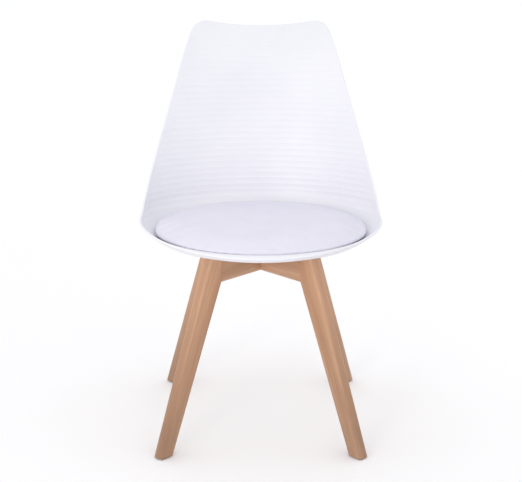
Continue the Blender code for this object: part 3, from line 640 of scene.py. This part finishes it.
def build_bosses(material):
    """Tapered bosses under the pan, one round each threaded insert."""
    outer, inner = BOSS_DIAMETER / 2, BOSS_HOLE_DIAMETER / 2
    top = PAN_Z - SHELL_WALL * (1 - BOSS_INTO_WALL)
    soft = BOSS_SOFTENING
    profile = [(inner, top), (inner, BOSS_BOTTOM_Z + soft), (inner + soft, BOSS_BOTTOM_Z),
               (outer - soft, BOSS_BOTTOM_Z), (outer, BOSS_BOTTOM_Z + soft),
               (outer + soft, top - 4 * soft), (outer + 2 * soft, top - 2 * soft),
               (outer + 5 * soft, top)]
    for place, x, y in bolt_places():
        mesh = turned_ring("shell_boss", profile)
        mesh.set_sharp_from_angle(angle=radians(50))
        boss = new_object(f"shell_boss_{place}", mesh, material)
        boss.location = BASE + Vector((x, y, 0))
        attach(boss, "root")


# ---------------------------------------------------------------- pad

def outline_ring(inset, height):
    """A level ring inside the pad's outline."""
    angle = 2 * pi * np.arange(PAD_SEGMENTS) / PAD_SEGMENTS
    power = 2 / PAD_ROUNDNESS
    across = np.sign(np.cos(angle)) * np.abs(np.cos(angle)) ** power
    along = np.sign(np.sin(angle)) * np.abs(np.sin(angle)) ** power
    x = (PAD_HALF_WIDTH - inset) * across
    y = (PAD_HALF_DEPTH - inset) * along + PAD_Y
    return np.stack([x, y, np.full(PAD_SEGMENTS, height)], -1)


def shell_height(x, y):
    """Height of the shell's inside over points of its bowl."""
    low, high = np.full(len(x), -1.0), np.full(len(x), RIM_LEVEL)
    for _ in range(SEARCH_STEPS):
        level = (low + high) / 2
        half_width, depth, _ = section(level)
        front = -front_points(np.full(len(x), -pi / 2), level)[:, 1]
        depth = np.where(y >= 0, depth, front)
        inside = (x / half_width) ** 2 + (y / depth) ** 2 > 1
        low, high = np.where(inside, level, low), np.where(inside, high, level)
    angle = np.arctan2(y / depth, x / half_width)
    rear, front = rear_points(angle, level), front_points(angle, level)
    return np.where(y >= 0, rear[:, 2], front[:, 2])


def pad_rings():
    """The pad's rings from its flat underside over its edge to its crown."""
    rings = [outline_ring(PAD_FLOOR_INSET, PAN_Z + PAD_FLOOR_GAP)]
    outline = outline_ring(PAD_EDGE_ROUNDING / 2, 0)
    room = PAD_EDGE_Z - shell_height(outline[:, 0], outline[:, 1]) - PAD_REST
    under = np.clip(room, PAD_EDGE_UNDER, PAD_EDGE_Z - PAN_Z - 2 * PAD_FLOOR_GAP)
    for degrees in range(UNDER_EDGE, OVER_EDGE + 1, EDGE_STEP):
        turned = radians(degrees)
        inset = PAD_EDGE_ROUNDING * (1 - cos(turned)) + PAD_SLACK
        ring = outline_ring(inset, PAD_EDGE_Z)
        ring[:, 2] += (under if degrees < 0 else PAD_EDGE_ROUNDING) * sin(turned)
        rings.append(ring)
    start = PAD_EDGE_Z + PAD_EDGE_ROUNDING * sin(radians(OVER_EDGE))
    for share in np.linspace(0, 1, CROWN_RINGS)[1:-1]:
        rise = (PAD_TOP_Z - PAD_SLACK - start) * (1 - (1 - share) ** CROWN_POWER)
        inset = PAD_EDGE_ROUNDING + share * (PAD_HALF_DEPTH - PAD_EDGE_ROUNDING)
        rings.append(outline_ring(inset, start + rise))
    return rings


def pad_start_mesh():
    rings = pad_rings()
    points = np.concatenate(rings + [np.array([[0, PAD_Y, PAD_TOP_Z - PAD_SLACK]])])
    count = PAD_SEGMENTS
    faces = [tuple(reversed(range(count)))]
    for j in range(len(rings) - 1):
        for i in range(count):
            k = (i + 1) % count
            low, high = j * count, (j + 1) * count
            faces.append((low + i, low + k, high + k, high + i))
    last = (len(rings) - 1) * count
    faces += [(last + i, last + (i + 1) % count, len(points) - 1) for i in range(count)]
    return mesh_from("pad_start", points, faces)


def remeshed(piece, size):
    """The piece's mesh as even squares of a size."""
    remesh = piece.modifiers.new("Even", "REMESH")
    remesh.mode = "VOXEL"
    remesh.voxel_size = size
    remesh.use_smooth_shade = True
    graph = bpy.context.evaluated_depsgraph_get()
    mesh = bpy.data.meshes.new_from_object(piece.evaluated_get(graph))
    piece.modifiers.clear()
    return mesh


def swollen(piece, pressure, frames, cap, held):
    """Swell a piece as stuffed cloth. Held vertices stay, and none moves past
    the cap."""
    start = coordinates(piece.data)
    group = piece.vertex_groups.new(name="held")
    group.add([int(i) for i in np.nonzero(held)[0]], 1.0, "REPLACE")
    cloth = piece.modifiers.new("Cloth", "CLOTH")
    cloth.settings.quality = CLOTH_QUALITY
    cloth.settings.mass = CLOTH_MASS
    cloth.settings.vertex_group_mass = "held"
    cloth.settings.use_pressure = True
    cloth.settings.uniform_pressure_force = pressure
    cloth.settings.tension_stiffness = CLOTH_STIFFNESS
    cloth.settings.compression_stiffness = CLOTH_STIFFNESS
    cloth.settings.bending_stiffness = CLOTH_BENDING
    cloth.settings.effector_weights.gravity = 0
    cloth.collision_settings.use_collision = False
    cloth.point_cache.frame_start = 1
    cloth.point_cache.frame_end = frames
    scene = bpy.context.scene
    for number in range(1, frames + 1):
        scene.frame_set(number)
    graph = bpy.context.evaluated_depsgraph_get()
    end = coordinates(piece.evaluated_get(graph).data)
    piece.modifiers.clear()
    piece.vertex_groups.clear()
    scene.frame_set(1)
    move = end - start
    length = np.linalg.norm(move, axis=1)
    share = np.minimum(cap / np.maximum(length, 1e-9), 1)
    return start + move * share[:, None]


def pad_wrinkles(points):
    """Small pleats where the cover is pulled round the edge, most at the right."""
    x = points[:, 0]
    y = points[:, 1] - PAD_Y
    angle = np.arctan2(y, x)
    reach = (np.abs(x / PAD_HALF_WIDTH) ** PAD_ROUNDNESS
             + np.abs(y / PAD_HALF_DEPTH) ** PAD_ROUNDNESS)
    inset = (1 - reach ** (1 / PAD_ROUNDNESS)) * PAD_HALF_DEPTH
    edge = np.exp(-((inset - PLEAT_INSET) / PLEAT_REACH) ** 2)
    above = smooth_step((points[:, 2] - PAD_EDGE_Z + 0.002) / 0.004)
    pleats = np.sin(61 * angle + 2 * np.sin(5 * angle)) * (0.5 + 0.5 * np.sin(9 * angle + 1.3))
    pleats += 0.6 * np.sin(103 * angle + 3 * np.sin(7 * angle)) * (0.5 + 0.5 * np.sin(4 * angle))
    right = 0.45 + 0.55 * np.cos((angle + 0.5) / 2) ** 8
    return pleats * edge * above * right * PLEAT_HEIGHT


def build_pad(material):
    piece = new_object("pad_upholstery", pad_start_mesh(), material)
    even = remeshed(piece, VOXEL)
    piece.data = even
    even.materials.clear()
    even.materials.append(material)
    points = coordinates(even)
    held = points[:, 2] < PAD_EDGE_Z - 0.001
    points = swollen(piece, PAD_PRESSURE, PAD_FRAMES, PAD_SWELL_CAP, held)
    even.vertices.foreach_set("co", points.ravel())
    even.update()
    subdivide = piece.modifiers.new("Finer", "SUBSURF")
    subdivide.levels = 1
    subdivide.render_levels = 1
    graph = bpy.context.evaluated_depsgraph_get()
    fine = bpy.data.meshes.new_from_object(piece.evaluated_get(graph))
    piece.modifiers.clear()
    piece.data = fine
    shape = coordinates(fine)
    shape = shape + coordinates(fine, "normal") * pad_wrinkles(shape)[:, None]
    fine.vertices.foreach_set("co", (shape + np.array(BASE)).ravel())
    fine.update()
    fine.shade_smooth()
    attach(piece, "root")
    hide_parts("pad_cover", "pad_foam")


# ---------------------------------------------------------------- base

def frame_blank():
    """A whole frame along X with rounded arrises, as the glued frame is."""
    outer_slope = (FOOT_OUTER_RADIUS - SHOULDER_RADIUS) / FRAME_TOP_Z
    inner_slope = (FOOT_INNER_RADIUS - KNEE_RADIUS) / RAIL_BOTTOM_Z
    half = [(SHOULDER_RADIUS, FRAME_TOP_Z),
            (FOOT_OUTER_RADIUS - outer_slope * WOOD_BOTTOM_Z, WOOD_BOTTOM_Z),
            (FOOT_INNER_RADIUS - inner_slope * WOOD_BOTTOM_Z, WOOD_BOTTOM_Z),
            (KNEE_RADIUS, RAIL_BOTTOM_Z)]
    outline = half + [(-radius, height) for radius, height in reversed(half)]
    work = bmesh.new()
    ring = [work.verts.new((x, -FRAME_THICKNESS / 2, z)) for x, z in outline]
    grown = bmesh.ops.extrude_face_region(work, geom=[work.faces.new(ring)])
    moved = [item for item in grown["geom"] if isinstance(item, bmesh.types.BMVert)]
    bmesh.ops.translate(work, vec=(0, FRAME_THICKNESS, 0), verts=moved)
    bmesh.ops.recalc_face_normals(work, faces=work.faces)
    arrises = [edge for edge in work.edges if is_arris(edge)]
    bmesh.ops.bevel(work, geom=arrises, offset=ARRIS_RADIUS, segments=8, profile=0.5,
                    affect="EDGES", clamp_overlap=True)
    return work


def is_arris(edge):
    """Whether an edge runs round a frame's side, away from its flat ends."""
    start, end = (vert.co for vert in edge.verts)
    across = abs(start.y - end.y) > FRAME_THICKNESS / 2
    flat_top = min(start.z, end.z) > FRAME_TOP_Z - JOINT_LINE
    flat_foot = max(start.z, end.z) < WOOD_BOTTOM_Z + JOINT_LINE
    return not (across or flat_top or flat_foot)


def trim(work, point, normal):
    """Cut off what lies past a plane, and close the cut."""
    everything = work.verts[:] + work.edges[:] + work.faces[:]
    result = bmesh.ops.bisect_plane(work, geom=everything, dist=1e-6, plane_co=point,
                                    plane_no=normal, clear_outer=True)
    rim = [item for item in result["geom_cut"] if isinstance(item, bmesh.types.BMEdge)]
    bmesh.ops.edgeloop_fill(work, edges=rim)


def wood_piece(name, work, local, angle, material):
    """A wooden piece whose own Z axis runs along its grain."""
    bmesh.ops.recalc_face_normals(work, faces=work.faces)
    mesh = bpy.data.meshes.new(name)
    work.to_mesh(mesh)
    work.free()
    mesh.transform(local.inverted())
    mesh.shade_smooth()
    mesh.set_sharp_from_angle(angle=SHARP_TURN)
    piece = new_object(name, mesh, material)
    piece.matrix_world = Matrix.Translation(BASE) @ Matrix.Rotation(angle, 4, "Z") @ local
    return piece


def build_legs(material):
    splay = atan((FOOT_OUTER_RADIUS + FOOT_INNER_RADIUS - SHOULDER_RADIUS - KNEE_RADIUS)
                 / (FRAME_TOP_Z + RAIL_BOTTOM_Z))
    foot = Vector(((FOOT_OUTER_RADIUS + FOOT_INNER_RADIUS) / 2, 0, WOOD_BOTTOM_Z))
    local = Matrix.Translation(foot) @ Matrix.Rotation(-splay, 4, "Y")
    for place, angle in FRAME_ANGLES.items():
        work = frame_blank()
        trim(work, (JOINT_RADIUS + JOINT_LINE / 2, 0, 0), (-1, 0, 0))
        leg = wood_piece(f"leg_wood_{place}", work, local, angle, material)
        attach(leg, "root")
        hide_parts(f"leg_{place}")


def cutting_mesh(shapes):
    """A closed mesh of separate boxes and cylinders to cut with."""
    work = bmesh.new()
    for kind, place, size in shapes:
        matrix = Matrix.Translation(place)
        if kind == "box":
            bmesh.ops.create_cube(work, size=1, matrix=matrix @ Matrix.Diagonal((*size, 1)))
        else:
            diameter, depth = size
            bmesh.ops.create_cone(work, cap_ends=True, segments=40, depth=depth,
                                  radius1=diameter / 2, radius2=diameter / 2, matrix=matrix)
    mesh = bpy.data.meshes.new("cutting")
    work.to_mesh(mesh)
    work.free()
    return mesh


def build_rails(material):
    """The two halved rails, with their counterbores."""
    height = FRAME_TOP_Z - RAIL_BOTTOM_Z
    local = Matrix.Rotation(pi / 2, 4, "Y")
    notch = (FRAME_THICKNESS + 2 * JOINT_LINE, 2 * FRAME_THICKNESS, height + JOINT_LINE)
    seat = RAIL_BOTTOM_Z + COUNTERBORE_DEPTH
    for name, angle, notch_z in (("rail_upper", FRAME_ANGLES["right_rear"], RAIL_BOTTOM_Z),
                                 ("rail_lower", FRAME_ANGLES["left_rear"], FRAME_TOP_Z)):
        work = frame_blank()
        trim(work, (JOINT_RADIUS - JOINT_LINE / 2, 0, 0), (1, 0, 0))
        trim(work, (JOINT_LINE / 2 - JOINT_RADIUS, 0, 0), (-1, 0, 0))
        rail = wood_piece(f"{name}_wood", work, local, angle, material)
        shapes = [("box", (0, 0, notch_z), notch)]
        for side in (-1, 1):
            x = side * BOLT_RADIUS_FROM_MIDDLE
            shapes.append(("hole", (x, 0, seat - height), (COUNTERBORE_DIAMETER, 2 * height)))
        cut(rail, cutting_mesh(shapes), angle)
        through = [("hole", (side * BOLT_RADIUS_FROM_MIDDLE, 0, FRAME_TOP_Z),
                    (BOLT_HOLE_DIAMETER, 3 * height)) for side in (-1, 1)]
        cut(rail, cutting_mesh(through), angle)
        rail.data.shade_smooth()
        rail.data.set_sharp_from_angle(angle=SHARP_TURN)
        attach(rail, "root")
        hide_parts(name)


def cut(piece, mesh, angle):
    """Cut a mesh out of a piece and keep the result as its mesh."""
    cutter = bpy.data.objects.new("cutter", mesh)
    bpy.context.scene.collection.objects.link(cutter)
    cutter.matrix_world = Matrix.Translation(BASE) @ Matrix.Rotation(angle, 4, "Z")
    boolean = piece.modifiers.new("Cut", "BOOLEAN")
    boolean.object = cutter
    boolean.solver = "EXACT"
    bpy.context.view_layer.update()
    graph = bpy.context.evaluated_depsgraph_get()
    result = bpy.data.meshes.new_from_object(piece.evaluated_get(graph))
    piece.modifiers.clear()
    piece.data = result
    bpy.data.objects.remove(cutter)


# ---------------------------------------------------------------- stage

def build_floor():
    corners = [(-1, -1), (1, -1), (1, 1), (-1, 1)]
    points = [(FLOOR_REACH * x, FLOOR_REACH * y, 0) for x, y in corners]
    mesh = mesh_from("floor", points, [(0, 1, 2, 3)])
    nodes = Nodes("pale_floor", FLOOR_COLOUR, 0.9)
    nodes.shader.inputs["Specular IOR Level"].default_value = 0.1
    floor = new_object("floor", mesh, nodes.material)


def build_key_light():
    """One soft light from the front left, a little above the chair."""
    data = bpy.data.lights.new("key", "AREA")
    data.shape = "RECTANGLE"
    data.size, data.size_y = KEY_SIZE
    data.energy = KEY_POWER
    data.color = KEY_COLOUR
    data.spread = KEY_SPREAD
    light = bpy.data.objects.new("key", data)
    light.location = KEY_PLACE
    aim = Vector(KEY_TARGET) - Vector(KEY_PLACE)
    light.rotation_euler = aim.to_track_quat("-Z", "Y").to_euler()
    bpy.context.scene.collection.objects.link(light)


def build_world():
    """Soft light from all round, a little stronger from the front left."""
    world = bpy.data.worlds.new("studio")
    world.use_nodes = True
    tree = world.node_tree
    background = tree.nodes["Background"]
    background.inputs["Color"].default_value = WORLD_COLOUR
    direction = tree.nodes.new("ShaderNodeTexCoord")
    toward = tree.nodes.new("ShaderNodeVectorMath")
    toward.operation = "DOT_PRODUCT"
    toward.inputs[1].default_value = Vector(BRIGHTEST_WAY).normalized()
    strength = tree.nodes.new("ShaderNodeMapRange")
    strength.inputs["From Min"].default_value = -1
    strength.inputs["To Min"].default_value = WORLD_STRENGTH - WORLD_SWING
    strength.inputs["To Max"].default_value = WORLD_STRENGTH + WORLD_SWING
    tree.links.new(direction.outputs["Generated"], toward.inputs[0])
    tree.links.new(toward.outputs["Value"], strength.inputs["Value"])
    tree.links.new(strength.outputs["Result"], background.inputs["Strength"])
    bpy.context.scene.world = world
    bpy.context.scene.view_settings.view_transform = "Standard"


def build_camera():
    """The photograph's viewing angle: from the front, looking a little down."""
    data = bpy.data.cameras.new("camera")
    data.sensor_width = SENSOR_WIDTH
    data.lens = LENS
    data.clip_end = 50
    camera = bpy.data.objects.new("camera", data)
    turned = Matrix.Rotation(CAMERA_TURN, 4, "Z")
    pitched = Matrix.Rotation(CAMERA_PITCH, 4, "X")
    rolled = Matrix.Rotation(CAMERA_ROLL, 4, "Z")
    away = Matrix.Translation(CAMERA_PLACE)
    camera.matrix_world = Matrix.Translation(BASE) @ turned @ away @ pitched @ rolled
    bpy.context.scene.collection.objects.link(camera)
    bpy.context.scene.camera = camera


def dress_fasteners(wood):
    """Materials for the CAD pieces that stay."""
    zinc, nylon = zinc_plate(), black_nylon()
    by_kind = {"pad_screw": zinc, "bolt": zinc, "flat_washer": zinc, "spring_washer": zinc,
               "threaded_insert": turned_brass(), "spacer": nylon, "foot_glide": nylon,
               "pad_board": raw_plywood(), "dowel": wood}
    for name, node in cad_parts.items():
        for kind, material in by_kind.items():
            if name.startswith(kind):
                node.data.materials.clear()
                node.data.materials.append(material)


plastic = shell_plastic()
# The legs get painted shade at the feet and painted light at the heads.
leg_beech_painted_light = beech_wood("lacquered_beech_legs_painted_light", FOOT_PAINTED_SHADE)
# The rails and dowels get the same painted light ramp, starting from full tone.
rail_beech_painted_light = beech_wood("lacquered_beech_rails_painted_light", 1.0)
build_camera()
build_shell(plastic)
build_bosses(plastic)
build_pad(pad_leatherette())
build_legs(leg_beech_painted_light)
build_rails(rail_beech_painted_light)
dress_fasteners(rail_beech_painted_light)
build_floor()
build_key_light()
build_world()
